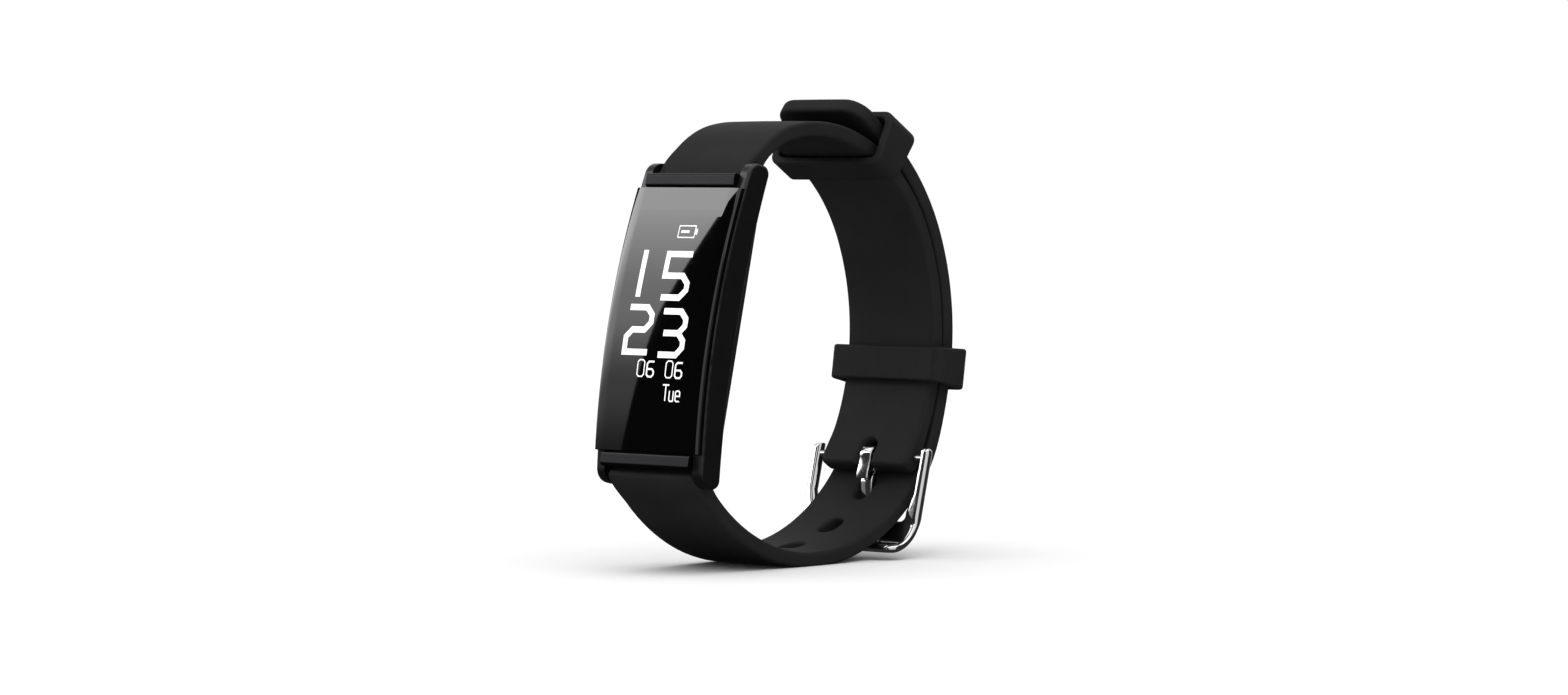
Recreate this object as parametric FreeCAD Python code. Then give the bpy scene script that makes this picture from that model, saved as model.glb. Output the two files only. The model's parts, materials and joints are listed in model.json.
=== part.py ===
import FreeCAD, Part
import math
import os

# Fitness tracker band, buckled closed and standing on the underside of its lower strap.
# Millimetres. X runs across the strap, -Y is the side the screen faces, +Z is up.
# Side view work is done in the (Y, Z) plane; the case is built upright and then leaned back.

V = FreeCAD.Vector

# Case (local frame: y is depth behind the screen's end line, z runs along the case)
CASE_W = 19.0
CASE_LEAN_DEG = -13.6
CASE_Y, CASE_Z = -22.8, 4.3
LENS_R = 110.0
LENS_W, LENS_L, LENS_T = 18.6, 35.5, 1.2
LENS_CREST = -2.0
LENS_ROLL = 0.35
LENS_GAP = 0.05
RIM_STEP = 0.75
REAR_R = 150.0
REAR_MID = 3.2
BODY_L = 36.6
LUG_L = 43.4
LUG_GAP = 15.8
LUG_FRONT_R, LUG_TIP_R, CASE_EDGE_R = 2.0, 1.2, 0.5
END_BAR_T0, END_BAR_T1 = -0.45, 0.75
END_BAR_Z0, END_BAR_Z1 = 17.9, 19.8
CAVITY_W, CAVITY_L = 15.4, 32.4
REAR_OPEN_L, REAR_LEDGE = 26.4, 2.85
COVER_W, COVER_L, COVER_BACK = 17.6, 30.6, 7.3
COVER_CHAMFER = 3.0
COVER_POCKET_W, COVER_POCKET_L, COVER_FLOOR = 12.4, 25.2, 6.4
COVER_GAP = 0.05
SEAL_W, SEAL_T, SEAL_REACH = 0.6, 0.5, 15.2
SENSOR_R, SENSOR_Y0, SENSOR_Y1 = 5.0, 6.5, 8.1
CONTACT_X, CONTACT_Z, CONTACT_R = 2.2, -9.9, 0.95

# Works inside the case
PANEL_W, PANEL_L, PANEL_Y0, PANEL_Y1 = 12.4, 26.4, 0.15, 1.25
BOARD_W, BOARD_L, BOARD_Y0, BOARD_Y1 = 12.2, 29.4, 2.1, 2.8
CELL_W, CELL_Z0, CELL_Z1, CELL_Y0, CELL_Y1 = 12.0, -4.4, 9.8, 3.75, 5.35
MOTOR_Z, MOTOR_R, MOTOR_Y0, MOTOR_Y1, MOTOR_WALL = -8.4, 3.6, 2.95, 5.5, 0.2
ROTOR_R, ROTOR_T, ROTOR_SHAFT_R = 3.0, 1.1, 0.5

# Spring bars in the lugs
BAR_DEPTH, BAR_Z = 3.0, 20.3
TUBE_R, TUBE_BORE_R, TUBE_HALF = 0.75, 0.50, 7.3
PLUNGER_R, PLUNGER_IN = 0.45, 5.0
NOSE_R, NOSE_HOLE_R, NOSE_REACH = 0.36, 0.42, 8.75
RUN_GAP = 0.05
COIL_R, COIL_WIRE_R, COIL_PITCH = 0.33, 0.10, 0.8

# Straps
STRAP_W, STRAP_T = 15.6, 2.2
LAYER_GAP = 0.1
EDGE_R = 0.55
KNUCKLE_CASE_R = 1.6
KNUCKLE_PIN_R = 1.45
BACK_C, BACK_R = (-8.9, 1.85), 32.2
CROWN_R = 24.5
SHOULDER_DEG = 23.6
CROWN_END_DEG = 100.0
PIN_DEG = -32.6
LOWER_C, LOWER_R = (-1.9, 0.2), 28.4
TAIL_DROP_DEG, TAIL_DROP_R = -10.0, 52.6
TAIL_BEND_R = 20.0
TAIL_TOP_R = 29.0
TAIL_LEAVE_DEG = 51.0
TAIL_END_L = 10.0
TAIL_CORNER_R = 3.2
HOLE_DEG, HOLE_L, HOLE_W, HOLE_PITCH = -47.3, 4.0, 2.5, 8.7
HOLES_BEFORE, HOLES_AFTER = 2, 4
STAND_FLAT = 0.3

# Keepers
KEEPER_W, KEEPER_WALL, KEEPER_HALF = 5.2, 1.1, 9.9
KEEPER_INNER_HALF = 8.6
KEEPER_GAP = 0.15
LOWER_KEEPER_DEG, LOWER_KEEPER_ROOM = -8.6, 0.25
UPPER_KEEPER_DEG, UPPER_KEEPER_ROOM = 58.0, 1.15

# Buckle
PIN_R, PIN_HALF = 0.5, 10.0
PIN_END_L = 1.9
ARM_IN, ARM_OUT, ARM_H = 8.95, 10.45, 1.5
ARM_EYE_R = 0.95
WEB_IN = 8.1
BEND_C, BEND_R = (10.94, -22.01), 5.4
ARM_MEET_DEG, PLATE_DEG = -14.6, -27.0
PLATE_T, PLATE_END_L = 1.1, 0.7
TANG_W, TANG_T = 2.0, 0.7
TANG_REST_GAP, TANG_END_L = 0.10, 1.6
TANG_SLOT_HALF, TANG_SLOT_L = 1.25, 1.7


# ---------------------------------------------------------------- side view geometry

def polar(centre, radius, deg):
    """Point at a radius and angle about a centre in the side view."""
    a = math.radians(deg)
    return (centre[0] + radius * math.cos(a), centre[1] + radius * math.sin(a))


def angle_of(centre, point):
    """Angle of a point seen from a centre, in degrees."""
    return math.degrees(math.atan2(point[1] - centre[1], point[0] - centre[0]))


def meet(c0, r0, c1, r1):
    """The lower of the two points at distance r0 from c0 and r1 from c1."""
    dy, dz = c1[0] - c0[0], c1[1] - c0[1]
    d = math.hypot(dy, dz)
    a = (r0 * r0 - r1 * r1 + d * d) / (2 * d)
    h = math.sqrt(r0 * r0 - a * a)
    base = (c0[0] + a * dy / d, c0[1] + a * dz / d)
    both = [(base[0] - s * h * dz / d, base[1] + s * h * dy / d) for s in (1, -1)]
    return min(both, key=lambda p: p[1])


def at_x(point, x):
    """Side view point placed at a distance x across the strap."""
    return V(x, point[0], point[1])


def arc_edge(centre, radius, deg0, deg1, x):
    """Circular edge in the side view plane at x."""
    stops = (deg0, (deg0 + deg1) / 2, deg1)
    return Part.Arc(*[at_x(polar(centre, radius, d), x) for d in stops]).toShape()


def line_edge(p0, p1, x):
    """Straight edge in the side view plane at x."""
    return Part.makeLine(at_x(p0, x), at_x(p1, x))


def across(edges, width):
    """Solid made by running a closed side view outline across the strap."""
    face = Part.Face(Part.Wire(Part.__sortEdges__(edges)))
    return face.extrude(V(width, 0, 0))


def sector(centre, r0, r1, deg0, deg1, half):
    """Arc-shaped slab between two radii and two angles, spanning -half to +half."""
    ends = [line_edge(polar(centre, r0, d), polar(centre, r1, d), -half) for d in (deg0, deg1)]
    arcs = [arc_edge(centre, r, deg0, deg1, -half) for r in (r0, r1)]
    return across(ends + arcs, 2 * half)


def rod(point, radius, x0, x1):
    """Round bar along X."""
    return Part.makeCylinder(radius, x1 - x0, at_x(point, x0), V(1, 0, 0))


def block(x0, x1, y0, y1, z0, z1):
    """Box between two corners."""
    return Part.makeBox(x1 - x0, y1 - y0, z1 - z0, V(x0, y0, z0))


def slab(half_x, y0, y1, z0, z1):
    """Box centred on X."""
    return block(-half_x, half_x, y0, y1, z0, z1)


def post(radius, y0, y1, x, z):
    """Round bar along Y."""
    return Part.makeCylinder(radius, y1 - y0, V(x, y0, z), V(0, 1, 0))


def moved(shape, x, y, z):
    """Copy of a shape shifted."""
    copy = shape.copy()
    copy.translate(V(x, y, z))
    return copy


def rounded(shape, radius, wanted):
    """Shape with the edges picked by a test on the edge rounded."""
    return shape.makeFillet(radius, [e for e in shape.Edges if wanted(e)])


def runs_along_side(edge, half):
    """True for an edge lying wholly on one of the strap's two side faces."""
    xs = [v.Point.x for v in edge.Vertexes]
    return all(abs(abs(x) - half) < 1e-6 for x in xs) and abs(xs[0] - xs[-1]) < 1e-6


# ---------------------------------------------------------------- shared centre lines

def case_point(depth, z):
    """Side view position of a point given in the case's own frame."""
    a = math.radians(CASE_LEAN_DEG)
    return (CASE_Y + depth * math.cos(a) - z * math.sin(a),
            CASE_Z + depth * math.sin(a) + z * math.cos(a))


UPPER_BAR = case_point(BAR_DEPTH, BAR_Z)
LOWER_BAR = case_point(BAR_DEPTH, -BAR_Z)
BUCKLE_PIN = polar(BACK_C, BACK_R, PIN_DEG)
CROWN_C = polar(BACK_C, BACK_R - CROWN_R, SHOULDER_DEG)


def front_arc():
    """Centre and radius of the arc that brings the upper strap down into the lugs."""
    reach = (UPPER_BAR[0] - CROWN_C[0], UPPER_BAR[1] - CROWN_C[1])
    unit = polar((0.0, 0.0), 1.0, CROWN_END_DEG)
    dot = reach[0] * unit[0] + reach[1] * unit[1]
    size2 = reach[0] ** 2 + reach[1] ** 2
    shift = (CROWN_R ** 2 - size2) / (2 * (CROWN_R - dot))
    return polar(CROWN_C, shift, CROWN_END_DEG), CROWN_R - shift


def short_path():
    """Upper strap centre line from the buckle pin to the upper spring bar."""
    centre, radius = front_arc()
    return [(BACK_C, BACK_R, PIN_DEG, SHOULDER_DEG),
            (CROWN_C, CROWN_R, SHOULDER_DEG, CROWN_END_DEG),
            (centre, radius, CROWN_END_DEG, angle_of(centre, UPPER_BAR))]


def tail_top():
    """Centre of the wide arc that carries the tail up off the crown."""
    return polar(BACK_C, BACK_R + STRAP_T + LAYER_GAP - TAIL_TOP_R, SHOULDER_DEG)


def long_path():
    """Lower strap centre line from the lower spring bar to where the tail straightens."""
    lift = STRAP_T + LAYER_GAP
    drop_c = polar(BACK_C, BACK_R + lift - TAIL_DROP_R, TAIL_DROP_DEG)
    bend_c = meet(LOWER_C, LOWER_R - TAIL_BEND_R, drop_c, TAIL_DROP_R - TAIL_BEND_R)
    leave = angle_of(LOWER_C, bend_c)
    join = angle_of(drop_c, bend_c)
    start = angle_of(LOWER_C, LOWER_BAR) - 360.0 * (LOWER_BAR[1] > LOWER_C[1])
    return [(LOWER_C, LOWER_R, start, leave),
            (bend_c, TAIL_BEND_R, leave, join),
            (drop_c, TAIL_DROP_R, join, TAIL_DROP_DEG),
            (BACK_C, BACK_R + lift, TAIL_DROP_DEG, SHOULDER_DEG),
            (tail_top(), TAIL_TOP_R, SHOULDER_DEG, TAIL_LEAVE_DEG)]


def along(path, distance):
    """Centre, radius and angle at a distance along a path of arcs."""
    for centre, radius, deg0, deg1 in path:
        length = radius * math.radians(deg1 - deg0)
        if distance <= length:
            break
        distance -= length
    return centre, radius, deg0 + math.degrees(distance / radius)


# ---------------------------------------------------------------- straps

def ribbon(path, tip=0.0):
    """Strap of constant thickness along a path of arcs, with an optional straight tip."""
    half, t = STRAP_W / 2, STRAP_T / 2
    edges = []
    for centre, radius, deg0, deg1 in path:
        edges += [arc_edge(centre, radius + s, deg0, deg1, -half) for s in (t, -t)]
    centre, radius, deg0, _ = path[0]
    edges.append(line_edge(polar(centre, radius - t, deg0), polar(centre, radius + t, deg0), -half))
    centre, radius, _, deg1 = path[-1]
    ends = [polar(centre, radius + s, deg1) for s in (t, -t)]
    if tip > 0:
        step = polar((0.0, 0.0), tip, deg1 + 90)
        tips = [(p[0] + step[0], p[1] + step[1]) for p in ends]
        edges += [line_edge(p, q, -half) for p, q in zip(ends, tips)]
        ends = tips
    edges.append(line_edge(ends[0], ends[1], -half))
    solid = across(edges, STRAP_W)
    return rounded(solid, EDGE_R, lambda e: runs_along_side(e, half) and e.Length > STRAP_T + 0.1)


def short_strap():
    """Upper strap: knuckle on the upper spring bar, knuckle and tang slot at the buckle pin."""
    half = STRAP_W / 2
    body = ribbon(short_path())
    body = body.fuse(rod(UPPER_BAR, KNUCKLE_CASE_R, -half, half))
    body = body.fuse(rod(BUCKLE_PIN, KNUCKLE_PIN_R, -half, half))
    end_deg = PIN_DEG - math.degrees(PIN_END_L / BACK_R)
    body = body.fuse(sector(BACK_C, BACK_R - STRAP_T / 2, BACK_R + STRAP_T / 2, end_deg, PIN_DEG, half))
    slot_deg = math.degrees(TANG_SLOT_L / BACK_R)
    slot = sector(BACK_C, BACK_R - 4, BACK_R + 4, PIN_DEG - 4, PIN_DEG + slot_deg, TANG_SLOT_HALF)
    bores = [rod(UPPER_BAR, TUBE_R + RUN_GAP, -half - 1, half + 1),
             rod(BUCKLE_PIN, PIN_R + RUN_GAP, -half - 1, half + 1)]
    return body.cut([slot] + bores).removeSplitter()


def strap_hole(distance, path):
    """Long oval through the strap at a distance along its centre line."""
    centre, radius, deg = along(path, distance)
    mid = polar(centre, radius, deg)
    straight = HOLE_L - HOLE_W
    core = block(-HOLE_W / 2, HOLE_W / 2, -straight / 2, straight / 2, -STRAP_T, STRAP_T)
    for y in (-straight / 2, straight / 2):
        core = core.fuse(Part.makeCylinder(HOLE_W / 2, 2 * STRAP_T, V(0, y, -STRAP_T)))
    core.rotate(V(0, 0, 0), V(1, 0, 0), deg + 90)
    return moved(core, 0, mid[0], mid[1])


def tail_corner(sign, deg):
    """Waste cut off one corner of the tail to leave it round, in the tail's own frame."""
    r, half = TAIL_CORNER_R, STRAP_W / 2
    waste = block(half - r, half + 1, TAIL_END_L - r, TAIL_END_L + 1, -3, 3)
    waste = waste.cut(Part.makeCylinder(r, 6, V(half - r, TAIL_END_L - r, -3)))
    if sign < 0:
        waste = waste.mirror(V(0, 0, 0), V(1, 0, 0))
    waste.rotate(V(0, 0, 0), V(1, 0, 0), deg + 90)
    end = polar(tail_top(), TAIL_TOP_R, TAIL_LEAVE_DEG)
    return moved(waste, 0, end[0], end[1])


def long_strap():
    """Lower strap: knuckle, row of holes, round-cornered tail, and a patch pressed flat on the ground."""
    half = STRAP_W / 2
    path = long_path()
    body = ribbon(path, TAIL_END_L).fuse(rod(LOWER_BAR, KNUCKLE_CASE_R, -half, half))
    first = LOWER_R * math.radians(HOLE_DEG - path[0][2])
    places = [first + i * HOLE_PITCH for i in range(-HOLES_BEFORE, HOLES_AFTER + 1)]
    waste = [strap_hole(d, path) for d in places]
    waste += [tail_corner(s, TAIL_LEAVE_DEG) for s in (1, -1)]
    ground = LOWER_C[1] - LOWER_R - STRAP_T / 2 + STAND_FLAT
    waste.append(slab(half + 1, LOWER_C[0] - 9, LOWER_C[0] + 9, ground - 2, ground))
    waste.append(rod(LOWER_BAR, TUBE_R + RUN_GAP, -half - 1, half + 1))
    return body.cut(waste).removeSplitter()


def keeper(centre, strap_r, mid_deg, room):
    """Flat rubber loop around both strap layers, curved to follow them."""
    inner = strap_r - STRAP_T / 2 - KEEPER_GAP
    outer = strap_r + STRAP_T * 1.5 + LAYER_GAP + room
    half_deg = math.degrees(KEEPER_W / 2 / (strap_r + STRAP_T / 2))
    span = (mid_deg - half_deg, mid_deg + half_deg)
    hull = sector(centre, inner - KEEPER_WALL, outer + KEEPER_WALL, span[0], span[1], KEEPER_HALF)
    hull = rounded(hull, 1.0, lambda e: runs_along_side(e, KEEPER_HALF) and e.Length > KEEPER_W - 1
                   and e.Curve.TypeId == "Part::GeomCircle")
    hole = sector(centre, inner, outer, span[0] - 1, span[1] + 1, KEEPER_INNER_HALF)
    return hull.cut(hole)


# ---------------------------------------------------------------- buckle

def plank(p, q, thickness, half):
    """Straight bar of constant thickness between two side view points, run across."""
    length = math.hypot(q[0] - p[0], q[1] - p[1])
    side = ((q[1] - p[1]) / length * thickness / 2, (p[0] - q[0]) / length * thickness / 2)
    corners = [(p[0] + side[0], p[1] + side[1]), (q[0] + side[0], q[1] + side[1]),
               (q[0] - side[0], q[1] - side[1]), (p[0] - side[0], p[1] - side[1])]
    return across([line_edge(corners[i], corners[(i + 1) % 4], -half) for i in range(4)], 2 * half)


def buckle_frame():
    """U-shaped frame: two slim side arms bored for the pin, bent forward into a wide curved plate."""
    inner, outer = BEND_R - PLATE_T / 2, BEND_R + PLATE_T / 2
    meet_point = polar(BEND_C, BEND_R, ARM_MEET_DEG)
    arm = plank(BUCKLE_PIN, meet_point, ARM_H, ARM_OUT)
    arm = arm.fuse(rod(BUCKLE_PIN, ARM_EYE_R, -ARM_OUT, ARM_OUT))
    arm = arm.fuse(sector(BEND_C, BEND_R - ARM_H / 2, BEND_R + ARM_H / 2, -60.0, ARM_MEET_DEG, ARM_OUT))
    arm = arm.cut(slab(ARM_IN, -60, 60, -60, 60))
    plate = sector(BEND_C, inner, outer, -90.0, PLATE_DEG, ARM_OUT)
    web = sector(BEND_C, inner, outer, PLATE_DEG, ARM_MEET_DEG, ARM_OUT).cut(slab(WEB_IN, -60, 60, -60, 60))
    lip = block(-ARM_OUT, ARM_OUT, BEND_C[0] - PLATE_END_L, BEND_C[0], BEND_C[1] - outer, BEND_C[1] - inner)
    clearance = rod(BUCKLE_PIN, PIN_R + RUN_GAP, -PIN_HALF - RUN_GAP, PIN_HALF + RUN_GAP)
    return arm.fuse([plate, web, lip]).cut(clearance).removeSplitter()


def buckle_tang():
    """Tongue: a curl round the pin, straight down through the strap, then resting under the plate."""
    rest_r = BEND_R + PLATE_T / 2 + TANG_REST_GAP + TANG_T / 2
    drop_y, floor_z = BEND_C[0] + rest_r, BEND_C[1] - rest_r
    half, t = TANG_W / 2, TANG_T / 2
    tongue = plank((drop_y, BUCKLE_PIN[1]), (drop_y, BEND_C[1]), TANG_T, half)
    tongue = tongue.fuse(sector(BEND_C, rest_r - t, rest_r + t, -90.0, 0.0, half))
    tongue = tongue.fuse(block(-half, half, BEND_C[0] - TANG_END_L, BEND_C[0], floor_z - t, floor_z + t))
    curl = rod(BUCKLE_PIN, BUCKLE_PIN[0] - drop_y + t, -half, half)
    return tongue.fuse(curl).cut(rod(BUCKLE_PIN, PIN_R + RUN_GAP, -half - 1, half + 1)).removeSplitter()


# ---------------------------------------------------------------- case, built upright

def arched(radius, crest, depth0, depth1, half_len, half):
    """Slab whose front and back follow the screen's lengthwise arch."""
    centre = (crest + radius, 0.0)
    edges = []
    corners = []
    for depth in (depth0, depth1):
        r = radius - depth
        swing = math.degrees(math.asin(half_len / r))
        edges.append(arc_edge(centre, r, 180 - swing, 180 + swing, -half))
        corners.append((polar(centre, r, 180 - swing), polar(centre, r, 180 + swing)))
    edges += [line_edge(corners[0][i], corners[1][i], -half) for i in (0, 1)]
    return across(edges, 2 * half)


def lens_glass():
    """Cover glass, arched along its length, its two long front edges rolled over."""
    glass = arched(LENS_R, LENS_CREST, 0.0, LENS_T, LENS_L / 2, LENS_W / 2)
    return rounded(glass, LENS_ROLL, lambda e: runs_along_side(e, LENS_W / 2)
                   and e.Length > LENS_L - 2 and e.CenterOfMass.y < LENS_CREST + LENS_T * 0.75)


def lens_adhesive():
    """Thin bonding frame under the glass."""
    sheet = arched(LENS_R, LENS_CREST, LENS_T + 0.02, LENS_T + 0.17, LENS_L / 2 - 0.3, 8.8)
    return sheet.cut(slab(7.8, -5, 5, -16.3, 16.3))


def case_blank(half):
    """Housing before it is hollowed: side view outline with rounded lug ends, run across."""
    front_c, front_r = (LENS_CREST + LENS_R, 0.0), LENS_R - RIM_STEP
    rear_c = (REAR_MID + REAR_R, 0.0)
    edges = []
    corners = []
    for centre, radius in ((front_c, front_r), (rear_c, REAR_R)):
        swing = math.degrees(math.asin(LUG_L / 2 / radius))
        edges.append(arc_edge(centre, radius, 180 - swing, 180 + swing, -half))
        corners.append((polar(centre, radius, 180 - swing), polar(centre, radius, 180 + swing)))
    edges += [line_edge(corners[0][i], corners[1][i], -half) for i in (0, 1)]
    body = across(edges, 2 * half)
    for radius, front in ((LUG_FRONT_R, True), (LUG_TIP_R, False)):
        body = rounded(body, radius, lambda e: abs(e.Length - 2 * half) < 1e-6
                       and abs(e.CenterOfMass.z) > LUG_L / 2 - 1e-3
                       and (e.CenterOfMass.y < LENS_T + 1.0) == front)
    return rounded(body, CASE_EDGE_R, lambda e: runs_along_side(e, half))


def case_housing():
    """Side walls with lugs, end walls, and a ledge that carries the glass."""
    body = case_blank(CASE_W / 2)
    waste = [slab(LUG_GAP / 2, -9, 9, BODY_L / 2, 30), slab(LUG_GAP / 2, -9, 9, -30, -BODY_L / 2)]
    waste.append(slab(CAVITY_W / 2, -9, REAR_LEDGE, -CAVITY_L / 2, CAVITY_L / 2))
    waste.append(slab(CAVITY_W / 2, -9, 9, -REAR_OPEN_L / 2, REAR_OPEN_L / 2))
    waste.append(arched(LENS_R, LENS_CREST, -3.0, LENS_T + 0.19, LENS_L / 2 + LENS_GAP,
                        LENS_W / 2 + LENS_GAP))
    for s in (1, -1):
        bar = slab(LUG_GAP / 2, -9, END_BAR_T1 + 0.05, END_BAR_Z0 - 0.1, 30)
        waste.append(bar if s > 0 else bar.mirror(V(0, 0, 0), V(0, 0, 1)))
        for side in (1, -1):
            x0, x1 = sorted((side * (LUG_GAP / 2 - 0.2), side * (NOSE_REACH + 0.1)))
            waste.append(rod((BAR_DEPTH, s * BAR_Z), NOSE_HOLE_R, x0, x1))
    return body.cut(waste).removeSplitter()


def end_bar(sign):
    """Satin bar across one end of the glass, between the lugs."""
    bar = slab(LUG_GAP / 2 - 0.05, END_BAR_T0, END_BAR_T1, END_BAR_Z0, END_BAR_Z1)
    bar = rounded(bar, 0.4, lambda e: abs(e.CenterOfMass.y - END_BAR_T0) < 1e-6 and e.Length > 5)
    return bar if sign > 0 else bar.mirror(V(0, 0, 0), V(0, 0, 1))


def cover_blank(front, back_shift, half, half_len):
    """Slab behind the housing whose front matches the housing's bowed rear edge."""
    centre = (REAR_MID + front + REAR_R, 0.0)
    swing = math.degrees(math.asin(half_len / REAR_R))
    y_end = polar(centre, REAR_R, 180 - swing)[0]
    edges = [arc_edge(centre, REAR_R, 180 - swing, 180 + swing, -half)]
    back = COVER_BACK + back_shift
    edges += [line_edge((y_end, s * half_len), (back, s * half_len), -half) for s in (1, -1)]
    edges.append(line_edge((back, -half_len), (back, half_len), -half))
    return across(edges, 2 * half)


def seal_ring(margin):
    """Rectangular ring between the housing and the cover, grown by a margin."""
    mid = (COVER_POCKET_W / 2 + 2.1, COVER_POCKET_L / 2 + 1.3)
    half = SEAL_W / 2 + margin
    outer = slab(mid[0] + half, -9, 9, -mid[1] - half, mid[1] + half)
    inner = slab(mid[0] - half, -9, 9, -mid[1] + half, mid[1] - half)
    return outer.cut(inner)


def rear_cover():
    """Skin-side cover: bevelled edges, hollow for the works, bored for window and contacts."""
    half = COVER_W / 2
    body = cover_blank(COVER_GAP, 0.0, half, COVER_L / 2)
    far = [e for e in body.Edges if abs(e.CenterOfMass.y - COVER_BACK) < 1e-6]
    body = body.makeChamfer(COVER_CHAMFER, far)
    seal_room = cover_blank(0.0, 0.0, half, SEAL_REACH).cut(cover_blank(SEAL_T + 0.05, 0.0, half, SEAL_REACH))
    waste = [slab(COVER_POCKET_W / 2, -9, COVER_FLOOR, -COVER_POCKET_L / 2, COVER_POCKET_L / 2),
             post(SENSOR_R + 0.05, 0, 9, 0, 0),
             seal_room.common(seal_ring(0.05))]
    waste += [post(CONTACT_R + 0.05, 0, 9, s * CONTACT_X, CONTACT_Z) for s in (1, -1)]
    return body.cut(waste).removeSplitter()


def rear_seal():
    """Rubber seal lying in the cover's groove."""
    band = cover_blank(0.03, 0.0, COVER_W / 2, SEAL_REACH).cut(cover_blank(SEAL_T, 0.0, COVER_W / 2, SEAL_REACH))
    return band.common(seal_ring(0.0))


def sensor_window():
    """Clear window over the optical pulse sensor, standing proud of the cover."""
    stem = post(SENSOR_R, SENSOR_Y0, SENSOR_Y1, 0, 0)
    return rounded(stem, 0.5, lambda e: abs(e.CenterOfMass.y - SENSOR_Y1) < 1e-6)


def display_flex():
    """Thin ribbon cable from the lower edge of the screen panel, folded back to the main board."""
    top = slab(3.0, PANEL_Y1 + 0.02, PANEL_Y1 + 0.14, -12.9, -11.0)
    out = slab(3.0, PANEL_Y1 + 0.02, PANEL_Y1 + 0.14, -14.4, -12.9)
    down = slab(3.0, PANEL_Y1 + 0.02, BOARD_Y0 - 0.02, -14.4, -14.28)
    return top.fuse([out, down]).removeSplitter()


def board_chips():
    """Processor under its shield can and two smaller packages, joined by their solder layer."""
    layer = slab(5.2, BOARD_Y1 + 0.02, BOARD_Y1 + 0.07, -5.2, 10.0)
    can = block(-4.6, 1.0, BOARD_Y1 + 0.07, BOARD_Y1 + 0.75, 0.5, 8.5)
    memory = block(2.2, 4.8, BOARD_Y1 + 0.07, BOARD_Y1 + 0.65, 4.5, 9.0)
    radio = block(2.2, 4.6, BOARD_Y1 + 0.07, BOARD_Y1 + 0.6, -4.0, 1.5)
    return layer.fuse([can, memory, radio]).removeSplitter()


def battery_cell():
    """Flat pouch cell with soft corners."""
    cell = slab(CELL_W / 2, CELL_Y0, CELL_Y1, CELL_Z0, CELL_Z1)
    return rounded(cell, 0.5, lambda e: abs(e.Length - (CELL_Z1 - CELL_Z0)) < 1e-6)


def battery_board():
    """Protection board on the cell's tabs, with its two leads to the main board."""
    board = slab(5.0, 4.0, 4.6, CELL_Z1 + 0.3, CELL_Z1 + 2.3)
    leads = [block(x, x + 0.6, BOARD_Y1 + 0.02, 4.0, CELL_Z1 + 0.9, CELL_Z1 + 1.5) for x in (2.2, 3.6)]
    return board.fuse(leads).removeSplitter()


def motor_can():
    """Coin-shaped vibration motor case with the fixed shaft on its floor."""
    can = post(MOTOR_R, MOTOR_Y0, MOTOR_Y1, 0, MOTOR_Z)
    room = post(MOTOR_R - MOTOR_WALL, MOTOR_Y0 + MOTOR_WALL, MOTOR_Y1 - MOTOR_WALL, 0, MOTOR_Z)
    shaft = post(ROTOR_SHAFT_R, MOTOR_Y0 + 0.1, MOTOR_Y1 - 0.1, 0, MOTOR_Z)
    vent = post(0.3, MOTOR_Y1 - 0.5, MOTOR_Y1 + 0.5, 2.2, MOTOR_Z)
    return can.cut([room, vent]).fuse(shaft).removeSplitter()


def motor_rotor():
    """Off-balance half disc that spins on the motor's shaft."""
    y0 = (MOTOR_Y0 + MOTOR_Y1 - ROTOR_T) / 2
    y1 = y0 + ROTOR_T
    disc = post(ROTOR_R, y0, y1, 0, MOTOR_Z)
    disc = disc.cut(slab(ROTOR_R + 1, y0 - 1, y1 + 1, MOTOR_Z + 0.4, MOTOR_Z + ROTOR_R + 1))
    hub = post(1.1, y0, y1, 0, MOTOR_Z)
    return disc.fuse(hub).cut(post(ROTOR_SHAFT_R + RUN_GAP, y0 - 1, y1 + 1, 0, MOTOR_Z)).removeSplitter()


def sensor_lamps():
    """Two green lamps of the pulse sensor on one carrier strip."""
    strip = block(-2.9, 2.9, 6.02, 6.1, -0.5, 0.5)
    lamps = [block(x - 0.6, x + 0.6, 6.1, 6.4, -0.5, 0.5) for x in (-2.2, 2.2)]
    return strip.fuse(lamps).removeSplitter()


def charging_contacts():
    """Pair of gold contact pins with a shared insulated carrier."""
    pins = [post(CONTACT_R, 5.9, COVER_BACK + 0.05, s * CONTACT_X, CONTACT_Z) for s in (1, -1)]
    carrier = block(-3.4, 3.4, 5.65, 5.9, CONTACT_Z - 1.2, CONTACT_Z + 1.2)
    return carrier.fuse(pins).removeSplitter()


def case_parts():
    """Everything carried by the case, in the case's own upright frame."""
    return {
        "lens_glass": lens_glass(),
        "lens_adhesive": lens_adhesive(),
        "touch_pad_film": slab(3.0, 0.7, 0.85, -15.8, -14.0),
        "oled_panel": slab(PANEL_W / 2, PANEL_Y0, PANEL_Y1, -PANEL_L / 2, PANEL_L / 2),
        "display_flex": display_flex(),
        "case_housing": case_housing(),
        "end_bar_upper": end_bar(1),
        "end_bar_lower": end_bar(-1),
        "main_board": slab(BOARD_W / 2, BOARD_Y0, BOARD_Y1, -BOARD_L / 2, BOARD_L / 2),
        "board_chips": board_chips(),
        "battery_cell": battery_cell(),
        "battery_board": battery_board(),
        "motor_can": motor_can(),
        "motor_rotor": motor_rotor(),
        "sensor_board": slab(4.4, 5.5, 6.0, -4.0, 4.0),
        "sensor_lamps": sensor_lamps(),
        "sensor_photodiode": slab(0.9, 6.02, 6.35, 1.2, 3.0),
        "sensor_window": sensor_window(),
        "charging_contacts": charging_contacts(),
        "rear_seal": rear_seal(),
        "rear_cover": rear_cover(),
    }


# ---------------------------------------------------------------- spring bars

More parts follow.
